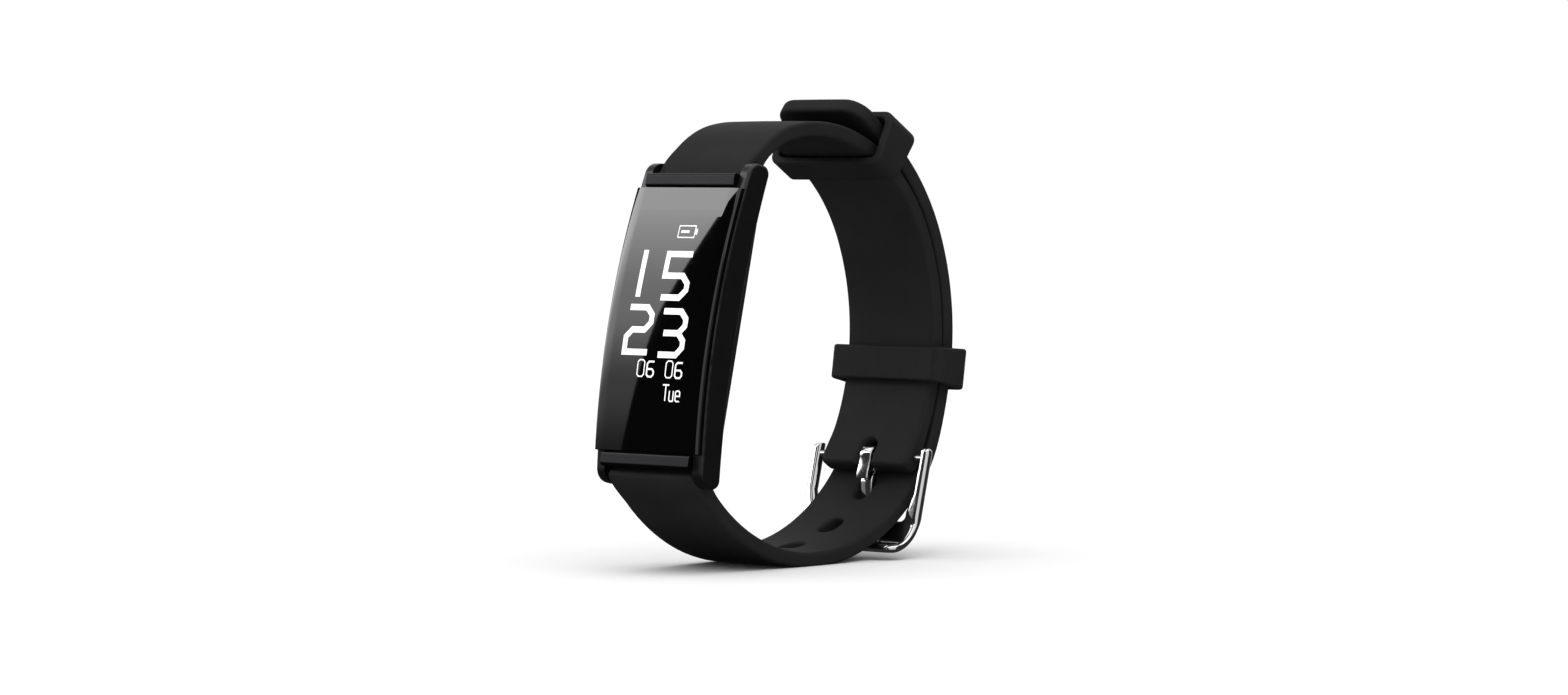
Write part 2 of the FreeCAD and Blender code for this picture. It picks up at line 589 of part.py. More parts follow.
def spring_bar(name, point):
    """Tube, two sliding tips and the inner coil of one spring bar."""
    tube = rod(point, TUBE_R, -TUBE_HALF, TUBE_HALF)
    tube = tube.cut(rod(point, TUBE_BORE_R, -TUBE_HALF - 1, TUBE_HALF + 1))
    tip = rod(point, PLUNGER_R, PLUNGER_IN, LUG_GAP / 2 - 0.1)
    tip = tip.fuse(rod(point, NOSE_R, LUG_GAP / 2 - 0.2, NOSE_REACH)).removeSplitter()
    length = 2 * PLUNGER_IN - 4 * COIL_WIRE_R
    helix = Part.makeHelix(COIL_PITCH, length, COIL_R)
    section = Part.Wire(Part.makeCircle(COIL_WIRE_R, V(COIL_R, 0, 0), V(0, 1, 0)))
    coil = Part.Wire(helix).makePipeShell([section], True, True)
    coil.rotate(V(0, 0, 0), V(0, 1, 0), 90)
    coil = moved(coil, -length / 2, point[0], point[1])
    return {
        name + "_bar_tube": tube,
        name + "_bar_tip_right": tip,
        name + "_bar_tip_left": tip.mirror(V(0, 0, 0), V(1, 0, 0)),
        name + "_bar_coil": coil,
    }


# ---------------------------------------------------------------- assembly

def build():
    """All pieces in place, before the assembly is set down on the ground."""
    parts = {}
    for name, shape in case_parts().items():
        shape.rotate(V(0, 0, 0), V(1, 0, 0), CASE_LEAN_DEG)
        parts[name] = moved(shape, 0, CASE_Y, CASE_Z)
    parts.update(spring_bar("upper", UPPER_BAR))
    parts.update(spring_bar("lower", LOWER_BAR))
    parts["short_strap"] = short_strap()
    parts["long_strap"] = long_strap()
    parts["lower_keeper"] = keeper(BACK_C, BACK_R, LOWER_KEEPER_DEG, LOWER_KEEPER_ROOM)
    parts["upper_keeper"] = keeper(CROWN_C, CROWN_R, UPPER_KEEPER_DEG, UPPER_KEEPER_ROOM)
    parts["buckle_pin"] = rod(BUCKLE_PIN, PIN_R, -PIN_HALF, PIN_HALF)
    parts["buckle_frame"] = buckle_frame()
    parts["buckle_tang"] = buckle_tang()
    return parts


def main():
    """Set the assembly down centred on the origin and write one file per piece."""
    os.makedirs("parts", exist_ok=True)
    parts = build()
    box = Part.makeCompound(list(parts.values())).optimalBoundingBox(False)
    shift = (-(box.YMin + box.YMax) / 2, -box.ZMin)
    for name, shape in parts.items():
        placed = moved(shape, 0.0, shift[0], shift[1])
        placed.exportStep("parts/" + name + ".step")
        print(name, placed.ShapeType, len(placed.Solids), placed.isValid(), round(placed.Volume, 2))
    centre, _ = front_arc()
    marks = {"upper bar": UPPER_BAR, "lower bar": LOWER_BAR, "pin": BUCKLE_PIN, "back centre": BACK_C,
             "crown centre": CROWN_C, "motor": case_point(0, MOTOR_Z), "front arc": centre,
             "sensor": case_point(SENSOR_Y1, 0), "lower centre": LOWER_C}
    for name, point in marks.items():
        print(name, round(point[0] + shift[0], 4), round(point[1] + shift[1], 4))
    print("box", box.XLength, box.YLength, box.ZLength, "shift", shift)


main()
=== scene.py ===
"""Fitness tracker band: visual pieces, materials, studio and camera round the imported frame.

Lengths are millimetres, scaled to metres where they reach a mesh. (y, z) is the side view.
"""
import json
import math

import bmesh
import bpy
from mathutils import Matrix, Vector


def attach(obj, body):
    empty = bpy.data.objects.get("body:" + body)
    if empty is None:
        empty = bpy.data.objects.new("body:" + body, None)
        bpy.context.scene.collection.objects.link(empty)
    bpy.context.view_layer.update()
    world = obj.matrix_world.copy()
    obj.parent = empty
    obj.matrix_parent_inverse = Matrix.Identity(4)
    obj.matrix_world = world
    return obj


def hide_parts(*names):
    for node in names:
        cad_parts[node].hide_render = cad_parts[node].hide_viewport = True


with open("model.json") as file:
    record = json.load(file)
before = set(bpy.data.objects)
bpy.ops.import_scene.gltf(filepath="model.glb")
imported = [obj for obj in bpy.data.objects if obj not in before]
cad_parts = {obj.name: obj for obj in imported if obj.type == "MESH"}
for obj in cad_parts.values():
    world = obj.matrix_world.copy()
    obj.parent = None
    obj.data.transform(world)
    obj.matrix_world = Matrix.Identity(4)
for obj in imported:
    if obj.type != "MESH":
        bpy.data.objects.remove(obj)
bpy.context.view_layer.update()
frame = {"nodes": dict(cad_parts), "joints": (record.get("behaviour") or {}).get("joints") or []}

MM = 0.001

# ---------------------------------------------------------------- driving sizes, as in the CAD

JOINT_AT = {j["name"]: (j["pos_m"][1] / MM, j["pos_m"][2] / MM)
            for j in frame["joints"] if "pos_m" in j}
UPPER_BAR = JOINT_AT["upper_strap_hinge"]
LOWER_BAR = JOINT_AT["lower_strap_hinge"]
BUCKLE_PIN = JOINT_AT["frame_swing"]
BACK_C = JOINT_AT["lower_keeper_slide"]
CROWN_C = JOINT_AT["upper_keeper_slide"]

BACK_R, CROWN_R = 32.2, 24.5
SHOULDER_DEG, CROWN_END_DEG, PIN_DEG = 23.6, 100.0, -32.6
LOWER_C, LOWER_R = (BACK_C[0] + 7.0, BACK_C[1] - 1.65), 28.4
TAIL_DROP_DEG, TAIL_DROP_R, TAIL_BEND_R = -10.0, 52.6, 20.0
TAIL_TOP_R, TAIL_LEAVE_DEG, TAIL_END_L, TAIL_CORNER_R = 29.0, 51.0, 10.0, 3.2
STRAP_W, STRAP_T, LAYER_GAP = 15.6, 2.2, 0.1
HOLE_DEG, HOLE_L, HOLE_W, HOLE_PITCH = -47.3, 4.0, 2.5, 8.7
HOLES_BEFORE, HOLES_AFTER = 2, 4
KEEPER_W, KEEPER_WALL, KEEPER_HALF, KEEPER_INNER_HALF, KEEPER_GAP = 5.2, 1.1, 9.9, 8.6, 0.15
LOWER_KEEPER_DEG, LOWER_KEEPER_ROOM = -8.6, 0.25
UPPER_KEEPER_DEG, UPPER_KEEPER_ROOM = 58.0, 1.15
PIN_END_L, TANG_SLOT_HALF, TANG_SLOT_L = 1.9, 1.25, 1.7
ARM_IN, ARM_OUT, ARM_H, WEB_IN = 8.95, 10.45, 1.5, 8.1
BEND_C, BEND_R = (BACK_C[0] + 19.84, BACK_C[1] - 23.86), 5.4
ARM_MEET_DEG, PLATE_DEG = -14.6, -22.5
PLATE_T, PLATE_END_L = 1.1, 0.7
TANG_W, TANG_T, TANG_END_L, TANG_REST_GAP = 2.0, 0.7, 1.6, 0.10
TANG_REST_R = BEND_R + PLATE_T / 2 + TANG_REST_GAP + TANG_T / 2
PIN_R = 0.5
CASE_LEAN = math.radians(-13.6)
CASE_AT = (BACK_C[0] - 13.9, BACK_C[1] + 2.45)
LENS_R, LENS_CREST, LENS_W, LENS_L, LENS_T = 110.0, -2.0, 18.6, 35.5, 1.2

# ---------------------------------------------------------------- finer shape, only in the visual model

CORNER_STEPS, FRAME_CORNER_STEPS = 10, 12
STRAP_EDGE_R, STRAP_END_R, PAST_BAR_L = 0.55, 0.9, 1.5
STRAP_CROWN, SWELL_L = 0.07, 4.5
KNUCKLE_CASE, KNUCKLE_PIN = 1.55, 1.45
SLOT_END_PAST = 0.5
STRAP_STEP, STRAP_STEP_X, KEEPER_STEP, KEEPER_STEP_X = 0.5, 1.3, 0.6, 1.2
KEEPER_EDGE_R, KEEPER_CORNERS, KEEPER_INNER_CORNERS = 0.38, (1.5, 1.9), (0.6, 0.9)
ARM_TOP, ARM_EDGE_R, ARM_TOP_R, PLATE_CORNER_R, WINDOW_CORNER_R = -1.5, 0.66, 0.7, 1.6, 0.8
WEB_RUN = ((ARM_IN, -3.2), (WEB_IN + 0.35, -1.6), (WEB_IN, -0.6))
PLATE_BLEND_L, FRAME_STEP, FRAME_ROUNDNESS = 1.0, 0.25, 8
LOOP_R, LOOP_FREE_L, LOOP_LIFT, BLADE_FALL = 1.12, 3.0, 0.25, 3.6
LOOP_TANGENTS, BLADE_TANGENTS = ((-0.5, 2.4), (0.0, 3.0)), ((0.0, -3.2), (0.0, -2.6))
TANG_EDGE_R, TANG_STEP, TANG_ROUNDNESS, TANG_FREE_R, TANG_TIP_R = 0.22, 0.12, 5, 0.15, 0.9
EASE_W, EASE_SLOPE, EASE_DROP = 1.7, 0.13, 0.20
LENS_COLUMNS, LENS_ROWS = 36, 120


# ---------------------------------------------------------------- side view paths

def polar(centre, radius, deg):
    a = math.radians(deg)
    return (centre[0] + radius * math.cos(a), centre[1] + radius * math.sin(a))


def angle_of(centre, point):
    return math.degrees(math.atan2(point[1] - centre[1], point[0] - centre[0]))


def arc(centre, radius, deg0, deg1, step=0.2):
    """Closely spaced points along an arc."""
    n = max(4, round(abs(math.radians(deg1 - deg0)) * radius / step))
    return [polar(centre, radius, deg0 + (deg1 - deg0) * i / n) for i in range(n + 1)]


def meet(c0, r0, c1, r1):
    """The lower of the two points at distance r0 from c0 and r1 from c1."""
    dy, dz = c1[0] - c0[0], c1[1] - c0[1]
    d = math.hypot(dy, dz)
    a = (r0 * r0 - r1 * r1 + d * d) / (2 * d)
    h = math.sqrt(r0 * r0 - a * a)
    base = (c0[0] + a * dy / d, c0[1] + a * dz / d)
    both = [(base[0] - s * h * dz / d, base[1] + s * h * dy / d) for s in (1, -1)]
    return min(both, key=lambda p: p[1])


class Path:
    """A smooth side view line that a flat pattern is bent along."""

    def __init__(self, points):
        self.points = [points[0]]
        self.at = [0.0]
        for p in points[1:]:
            gap = math.dist(p, self.points[-1])
            if gap > 1e-6:
                self.points.append(p)
                self.at.append(self.at[-1] + gap)
        self.length = self.at[-1]

    def place(self, s):
        """Point and unit tangent at a distance, carried on straight past either end."""
        lo, hi = 0, len(self.at) - 2
        while lo < hi:
            mid = (lo + hi + 1) // 2
            lo, hi = (mid, hi) if self.at[mid] <= s else (lo, mid - 1)
        p, q = self.points[lo], self.points[lo + 1]
        span = self.at[lo + 1] - self.at[lo]
        f = (s - self.at[lo]) / span
        point = (p[0] + f * (q[0] - p[0]), p[1] + f * (q[1] - p[1]))
        before, after = self._slope(lo - 1), self._slope(lo + 1)
        here = self._slope(lo)
        g = min(max(f, 0.0), 1.0)
        if g < 0.5:
            mix = [b * (0.5 - g) + h * (0.5 + g) for b, h in zip(before, here)]
        else:
            mix = [h * (1.5 - g) + a * (g - 0.5) for h, a in zip(here, after)]
        size = math.hypot(*mix)
        return point, (mix[0] / size, mix[1] / size)

    def _slope(self, i):
        i = min(max(i, 0), len(self.points) - 2)
        p, q = self.points[i], self.points[i + 1]
        d = math.dist(p, q)
        return ((q[0] - p[0]) / d, (q[1] - p[1]) / d)


def short_path():
    """Upper strap, from the buckle pin over the crown to the upper spring bar."""
    reach = (UPPER_BAR[0] - CROWN_C[0], UPPER_BAR[1] - CROWN_C[1])
    unit = polar((0.0, 0.0), 1.0, CROWN_END_DEG)
    dot = reach[0] * unit[0] + reach[1] * unit[1]
    shift = (CROWN_R ** 2 - reach[0] ** 2 - reach[1] ** 2) / (2 * (CROWN_R - dot))
    front_c, front_r = polar(CROWN_C, shift, CROWN_END_DEG), CROWN_R - shift
    return Path(arc(BACK_C, BACK_R, PIN_DEG, SHOULDER_DEG)
                + arc(CROWN_C, CROWN_R, SHOULDER_DEG, CROWN_END_DEG)
                + arc(front_c, front_r, CROWN_END_DEG, angle_of(front_c, UPPER_BAR)))


def long_path():
    """Lower strap, from the lower spring bar round to the end of the tail."""
    lift = STRAP_T + LAYER_GAP
    drop_c = polar(BACK_C, BACK_R + lift - TAIL_DROP_R, TAIL_DROP_DEG)
    bend_c = meet(LOWER_C, LOWER_R - TAIL_BEND_R, drop_c, TAIL_DROP_R - TAIL_BEND_R)
    leave, join = angle_of(LOWER_C, bend_c), angle_of(drop_c, bend_c)
    start = angle_of(LOWER_C, LOWER_BAR)
    points = arc(LOWER_C, LOWER_R, start, leave)
    points += arc(bend_c, TAIL_BEND_R, leave, join)
    points += arc(drop_c, TAIL_DROP_R, join, TAIL_DROP_DEG)
    points += arc(BACK_C, BACK_R + lift, TAIL_DROP_DEG, SHOULDER_DEG)
    top_c = polar(BACK_C, BACK_R + lift - TAIL_TOP_R, SHOULDER_DEG)
    points += arc(top_c, TAIL_TOP_R, SHOULDER_DEG, TAIL_LEAVE_DEG)
    step = polar((0.0, 0.0), TAIL_END_L, TAIL_LEAVE_DEG + 90)
    end = points[-1]
    points += [(end[0] + step[0] * i / 20, end[1] + step[1] * i / 20) for i in range(1, 21)]
    return Path(points)


def hermite(p0, d0, p1, d1, n):
    """Smooth line between two points with given end directions."""
    out = []
    for i in range(n + 1):
        t = i / n
        a, b = 2 * t ** 3 - 3 * t ** 2 + 1, t ** 3 - 2 * t ** 2 + t
        c, d = -2 * t ** 3 + 3 * t ** 2, t ** 3 - t ** 2
        out.append(tuple(a * p0[k] + b * d0[k] + c * p1[k] + d * d1[k] for k in (0, 1)))
    return out


# ---------------------------------------------------------------- flat patterns

def rounded_outline(half, s0, s1, r_low, r_high, steps=CORNER_STEPS):
    """Rectangle in (x, s) with its own corner radius at each end."""
    points = []
    high, low = (half - r_high, s1 - r_high, r_high), (half - r_low, s0 + r_low, r_low)
    for (reach, cs, r), side, start in ((high, 1, 0), (high, -1, 90), (low, -1, 180), (low, 1, 270)):
        cx = side * reach
        for i in range(steps + 1):
            a = math.radians(start + 90 * i / steps)
            points.append((cx + r * math.cos(a), cs + r * math.sin(a)))
    return points


def notched(outline, right_side, steps=CORNER_STEPS):
    """Outline with a mirrored notch let into its low end; right_side runs inwards from that end.

    A point of right_side on the middle line is not repeated.
    """
    low_left = 3 * (steps + 1)
    left_side = [(-x, s) for x, s in reversed(right_side) if x]
    return outline[:low_left] + (right_side + left_side)[::-1] + outline[low_left:]


def oval(cx, cs, width, length, steps=12):
    """Long oval along s."""
    r, reach = width / 2, (length - width) / 2
    points = []
    for sign, start in ((1, 0), (-1, 180)):
        for i in range(steps + 1):
            a = math.radians(start + 180 * i / steps)
            points.append((cx + r * math.cos(a), cs + sign * reach + r * math.sin(a)))
    return points


def flat_piece(name, outlines, thickness, bevel, resolution=4):
    """Plate with rolled edges filled between closed outlines, lying in (x, s) with t as its height."""
    data = bpy.data.curves.new(name, "CURVE")
    data.dimensions = "2D"
    data.fill_mode = "BOTH"
    for outline in outlines:
        spline = data.splines.new("POLY")
        spline.points.add(len(outline) - 1)
        for point, (x, s) in zip(spline.points, outline):
            point.co = (x, s, 0.0, 1.0)
        spline.use_cyclic_u = True
    data.extrude = thickness / 2 - bevel
    data.bevel_depth = bevel
    data.bevel_resolution = resolution
    data.offset = -bevel
    holder = bpy.data.objects.new(name + "_pattern", data)
    bpy.context.scene.collection.objects.link(holder)
    bpy.context.view_layer.update()
    mesh = bpy.data.meshes.new_from_object(holder.evaluated_get(bpy.context.evaluated_depsgraph_get()))
    bpy.data.objects.remove(holder)
    bpy.data.curves.remove(data)
    return mesh


def slice_up(bm, axis, start, stop, step):
    """Cuts a mesh by evenly spaced planes, so that it can be bent smoothly."""
    normal = Vector((0, 0, 0))
    normal[axis] = 1.0
    n = max(1, round((stop - start) / step))
    for i in range(1, n):
        at = Vector((0, 0, 0))
        at[axis] = start + (stop - start) * i / n
        geometry = list(bm.verts) + list(bm.edges) + list(bm.faces)
        bmesh.ops.bisect_plane(bm, geom=geometry, dist=1e-5, plane_co=at, plane_no=normal)


def bent(name, mesh, place, step_s, step_x, body, material, *nodes):
    """Slices a flat piece, puts each point where place(x, s, t) says, and stands it in for CAD nodes."""
    bm = bmesh.new()
    bm.from_mesh(mesh)
    bmesh.ops.remove_doubles(bm, verts=bm.verts, dist=1e-4)
    xs = [v.co.x for v in bm.verts]
    ss = [v.co.y for v in bm.verts]
    slice_up(bm, 1, min(ss), max(ss), step_s)
    if step_x:
        slice_up(bm, 0, min(xs), max(xs), step_x)
    for v in bm.verts:
        v.co = Vector(place(v.co.x, v.co.y, v.co.z)) * MM
    bmesh.ops.recalc_face_normals(bm, faces=bm.faces)
    return finished(name, bm, body, material, *nodes)


def finished(name, bm, body, material, *nodes, smooth_deg=40.0):
    """Turns a bmesh into a shaded piece that rides on a body."""
    mesh = bpy.data.meshes.new(name)
    bm.to_mesh(mesh)
    bm.free()
    mesh.shade_smooth()
    obj = bpy.data.objects.new(name, mesh)
    bpy.context.scene.collection.objects.link(obj)
    mesh.materials.append(material)
    mesh.set_sharp_from_angle(angle=math.radians(smooth_deg))
    weigh = obj.modifiers.new("weighted", "WEIGHTED_NORMAL")
    weigh.keep_sharp = True
    if nodes:
        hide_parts(*nodes)
    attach(obj, body)
    return obj


def along(path, swell=None):
    """Placement of (x, s, t) on a path: t is towards the outside of the loop."""
    def place(x, s, t):
        (y, z), (dy, dz) = path.place(s)
        grow = swell(x, s) if swell else 1.0
        return (x, y + t * grow * dz, z - t * grow * dy)
    return place


# ---------------------------------------------------------------- materials

class Nodes:
    """Short way to write a procedural material."""

    def __init__(self, name, **sockets):
        self.material = bpy.data.materials.new(name)
        self.material.use_nodes = True
        self.tree = self.material.node_tree
        self.shader = self.tree.nodes["Principled BSDF"]
        self.set(self.shader, **sockets)
        self.coords = self.tree.nodes.new("ShaderNodeTexCoord")

    def set(self, node, **sockets):
        for key, value in sockets.items():
            node.inputs[key.replace("_", " ")].default_value = value
        return node

    def add(self, kind, links=(), **sockets):
        node = self.tree.nodes.new("ShaderNode" + kind)
        self.set(node, **sockets)
        for source, key in links:
            self.tree.links.new(source, node.inputs[key])
        return node

    def noise(self, scale, detail=4.0, rough=0.6):
        return self.add("TexNoise", [(self.coords.outputs["Object"], "Vector")],
                        Scale=scale, Detail=detail, Roughness=rough).outputs["Fac"]

    def ramp(self, source, *stops):
        node = self.add("ValToRGB", [(source, "Fac")])
        elements = node.color_ramp.elements
        while len(elements) < len(stops):
            elements.new(0.5)
        for element, (position, colour) in zip(elements, stops):
            element.position = position
            element.color = colour if len(colour) == 4 else (*colour, 1.0)
        return node.outputs["Color"]

    def map(self, source, low, high):
        return self.add("MapRange", [(source, "Value")], To_Min=low, To_Max=high).outputs["Result"]

    def bump(self, height, strength, distance):
        node = self.add("Bump", [(height, "Height")], Strength=strength, Distance=distance)
        self.tree.links.new(node.outputs["Normal"], self.shader.inputs["Normal"])

    def link(self, source, key):
        self.tree.links.new(source, self.shader.inputs[key])


def grey(value):
    return (value, value, value * 1.03, 1.0)


def rubber(name, value, rough):
    """Matte elastomer: fine moulded grain, faint wiped patches."""
    m = Nodes(name, Roughness=rough, IOR=1.45)
    m.set(m.shader, Specular_IOR_Level=0.12)
    patches = m.noise(120.0)
    m.link(m.ramp(patches, (0.35, grey(value * 0.9)), (0.7, grey(value * 1.12))), "Base Color")
    m.link(m.map(m.noise(420.0), rough - 0.05, rough + 0.06), "Roughness")
    m.bump(m.noise(9000.0, 2.0), 0.22, 0.00002)
    return m.material


def satin_plastic(name, value, rough, tint=(1.0, 1.0, 1.03)):
    """Moulded plastic with a fine spark-eroded texture."""
    m = Nodes(name, Roughness=rough, IOR=1.5)
    m.link(m.ramp(m.noise(160.0), (0.35, tuple(value * 0.88 * t for t in tint)),
                  (0.7, tuple(value * 1.06 * t for t in tint))), "Base Color")
    m.link(m.map(m.noise(700.0), rough - 0.05, rough + 0.07), "Roughness")
    m.bump(m.noise(11000.0, 2.0), 0.18, 0.00002)
    return m.material


def metal(name, colour, rough, scratch=0.06):
    """Bare or plated metal with hairline scratches and faint smears."""
    m = Nodes(name, Metallic=1.0, Roughness=rough)
    m.link(m.ramp(m.noise(200.0), (0.3, tuple(c * 0.93 for c in colour)), (0.75, colour)), "Base Color")
    m.link(m.map(m.noise(900.0), max(0.02, rough - scratch / 2), rough + scratch), "Roughness")
    m.bump(m.noise(2600.0, 3.0), 0.05, 0.00001)
    return m.material


def laminate():
    """Green circuit board with lighter printed tracks and small pads."""
    m = Nodes("board_laminate", Roughness=0.4, IOR=1.5)
    tracks = m.add("TexBrick", [(m.coords.outputs["Object"], "Vector")], Scale=240.0, Mortar_Size=0.03,
                   Color1=(0.006, 0.085, 0.030, 1.0), Color2=(0.008, 0.10, 0.036, 1.0),
                   Mortar=(0.05, 0.22, 0.07, 1.0))
    m.link(tracks.outputs["Color"], "Base Color")
    m.link(m.map(m.noise(500.0), 0.32, 0.48), "Roughness")
    m.bump(tracks.outputs["Fac"], 0.3, 0.00003)
    return m.material


def black_glass():
    """Black-backed cover glass with faint fingerprints in its gloss."""
    m = Nodes("black_glass", Roughness=0.01, IOR=1.52)
    m.link(m.ramp(m.noise(60.0), (0.3, grey(0.0004)), (0.8, grey(0.0007))), "Base Color")
    m.link(m.map(m.noise(90.0, 6.0), 0.004, 0.022), "Roughness")
    return m.material


def glowing(name, colour, strength):
    """Lit segment of the display, a little uneven."""
    m = Nodes(name, Roughness=0.3)
    m.link(m.ramp(m.noise(3000.0), (0.3, tuple(c * 0.9 for c in colour)), (0.7, colour)), "Base Color")
    m.link(m.ramp(m.noise(3000.0), (0.3, tuple(c * 0.94 for c in colour)), (0.7, colour)), "Emission Color")
    m.set(m.shader, Emission_Strength=strength)
    return m.material


STRAP = rubber("strap_rubber", 0.0155, 0.66)
KEEPER = rubber("keeper_rubber", 0.0145, 0.64)
HOUSING = satin_plastic("housing_plastic", 0.004, 0.34)
COVER = satin_plastic("cover_plastic", 0.008, 0.45)
BAR_METAL = metal("bar_metal", (0.028, 0.028, 0.03), 0.36)
CHROME = metal("buckle_chrome", (0.80, 0.80, 0.81), 0.07)
STEEL = metal("spring_steel", (0.55, 0.55, 0.56), 0.25)
GLASS = black_glass()
GOLD = metal("contact_gold", (0.83, 0.60, 0.25), 0.22)
COPPER = metal("copper_film", (0.72, 0.38, 0.22), 0.3)
HEAVY_ALLOY = metal("rotor_alloy", (0.38, 0.35, 0.31), 0.38)
FOIL = metal("cell_foil", (0.62, 0.63, 0.65), 0.33, 0.16)
LAMINATE = laminate()
RIBBON = satin_plastic("ribbon_polyimide", 0.5, 0.3, (1.0, 0.48, 0.10))
LAMP = satin_plastic("lamp_resin", 0.6, 0.16, (0.75, 1.0, 0.6))
EPOXY = satin_plastic("sensor_epoxy", 0.02, 0.2)
FOAM = rubber("adhesive_foam", 0.015, 0.85)
SEAL = rubber("seal_silicone", 0.02, 0.5)
LIT = glowing("display_white", (0.80, 0.80, 0.81), 0.62)


# ---------------------------------------------------------------- straps and keepers

def strap_swell(path, knuckle_at_start, knuckle_at_end):
    """Slight crown across the strap, and thicker ends round the bars."""
    half = STRAP_W / 2

    def swell(x, s):
        crown = 1.0 - STRAP_CROWN * (x / half) ** 2
        ends = 0.0
        for near, knuckle in ((abs(s), knuckle_at_start), (path.length - s, knuckle_at_end)):
            f = min(max(1.0 - near / SWELL_L, 0.0), 1.0)
            ends = max(ends, (knuckle / (STRAP_T / 2) - 1.0) * f * f * (3 - 2 * f))
        return crown * (1.0 + ends)
    return swell


def build_short_strap():
    """Upper strap with the open slot for the tang in its buckle end."""
    path = short_path()
    outline = rounded_outline(STRAP_W / 2, -PIN_END_L, path.length + PAST_BAR_L, STRAP_END_R, STRAP_END_R)
    round_c = TANG_SLOT_L - TANG_SLOT_HALF + SLOT_END_PAST
    slot = [(TANG_SLOT_HALF, -PIN_END_L), (TANG_SLOT_HALF, round_c)]
    slot += [(TANG_SLOT_HALF * math.cos(a), round_c + TANG_SLOT_HALF * math.sin(a))
             for a in [math.pi * i / 12 for i in range(1, 6)]]
    slot.append((0.0, round_c + TANG_SLOT_HALF))
    mesh = flat_piece("short_strap_soft", [notched(outline, slot)], STRAP_T, STRAP_EDGE_R)
    place = along(path, strap_swell(path, KNUCKLE_PIN, KNUCKLE_CASE))
    return bent("short_strap_soft", mesh, place, STRAP_STEP, STRAP_STEP_X, "upper_strap", STRAP,
                "short_strap")


def build_long_strap():
    """Lower strap with its row of holes and round-cornered tail."""
    path = long_path()
    first = LOWER_R * math.radians(HOLE_DEG - angle_of(LOWER_C, LOWER_BAR))
    outlines = [rounded_outline(STRAP_W / 2, -PAST_BAR_L, path.length, STRAP_END_R, TAIL_CORNER_R)]
    for i in range(-HOLES_BEFORE, HOLES_AFTER + 1):
        outlines.append(oval(0.0, first + i * HOLE_PITCH, HOLE_W, HOLE_L))
    mesh = flat_piece("long_strap_soft", outlines, STRAP_T, STRAP_EDGE_R)
    bend = along(path, strap_swell(path, KNUCKLE_CASE, STRAP_T / 2))

    def place(x, s, t):
        x, y, z = bend(x, s, t)
        return (x, y, max(z, 0.0))
    return bent("long_strap_soft", mesh, place, STRAP_STEP, STRAP_STEP_X, "lower_strap", STRAP, "long_strap")


def build_keeper(name, node, centre, strap_r, mid_deg, room, body):
    """Flat rubber loop: ring outline in (x, radius), run along the strap's arc."""
    inner = strap_r - STRAP_T / 2 - KEEPER_GAP
    outer = strap_r + STRAP_T * 1.5 + LAYER_GAP + room
    low, high = inner - KEEPER_WALL, outer + KEEPER_WALL
    mid_r = strap_r + STRAP_T / 2
    ring = [rounded_outline(KEEPER_HALF, low, high, *KEEPER_CORNERS),
            rounded_outline(KEEPER_INNER_HALF, inner, outer, *KEEPER_INNER_CORNERS)]
    mesh = flat_piece(name, ring, KEEPER_W, KEEPER_EDGE_R)

    def place(x, r, w):
        a = math.radians(mid_deg) + w / mid_r
        return (x, centre[0] + r * math.cos(a), centre[1] + r * math.sin(a))
    return bent(name, mesh, place, KEEPER_STEP, KEEPER_STEP_X, body, KEEPER, node)


build_short_strap()
build_long_strap()
build_keeper("lower_loop_soft", "lower_keeper", BACK_C, BACK_R, LOWER_KEEPER_DEG, LOWER_KEEPER_ROOM,
             "lower_loop")
build_keeper("upper_loop_soft", "upper_keeper", CROWN_C, CROWN_R, UPPER_KEEPER_DEG, UPPER_KEEPER_ROOM,
             "upper_loop")


# ---------------------------------------------------------------- buckle

def straight(start, end, n):
    """Evenly spaced points from start to end."""
    return [(start[0] + (end[0] - start[0]) * i / n, start[1] + (end[1] - start[1]) * i / n)
            for i in range(n + 1)]


def build_frame():
    """Polished U: slim rounded side arms bent forward into a wide curved plate under the strap."""
    meet_point = polar(BEND_C, BEND_R, ARM_MEET_DEG)
    down = math.dist(BUCKLE_PIN, meet_point)
    points = straight(BUCKLE_PIN, meet_point, 40)
    points += arc(BEND_C, BEND_R, ARM_MEET_DEG, -90.0, 0.1)
    points.append((BEND_C[0] - PLATE_END_L, BEND_C[1] - BEND_R))
    path = Path(points)
    window = down + BEND_R * math.radians(ARM_MEET_DEG - PLATE_DEG)
    outer = rounded_outline(ARM_OUT, ARM_TOP, path.length, ARM_TOP_R, PLATE_CORNER_R, FRAME_CORNER_STEPS)
    corner = WINDOW_CORNER_R
    gap = [(ARM_IN, ARM_TOP)] + [(x, down + at) for x, at in WEB_RUN]
    gap.append((WEB_IN, window - corner))
    gap += [(WEB_IN - corner + corner * math.cos(b), window - corner + corner * math.sin(b))
            for b in [math.pi / 2 * i / 8 for i in range(1, 9)]]
    outline = notched(outer, gap, FRAME_CORNER_STEPS)
    mesh = flat_piece("buckle_frame_polished", [outline], ARM_H, ARM_EDGE_R, FRAME_ROUNDNESS)

    def swell(x, s):
        f = min(max((s - down) / (window + PLATE_BLEND_L - down), 0.0), 1.0)
        return 1.0 - (1.0 - PLATE_T / ARM_H) * f * f * (3 - 2 * f)
    place = along(path, swell)
    return bent("buckle_frame_polished", mesh, place, FRAME_STEP, 0.0, "frame", CHROME, "buckle_frame")


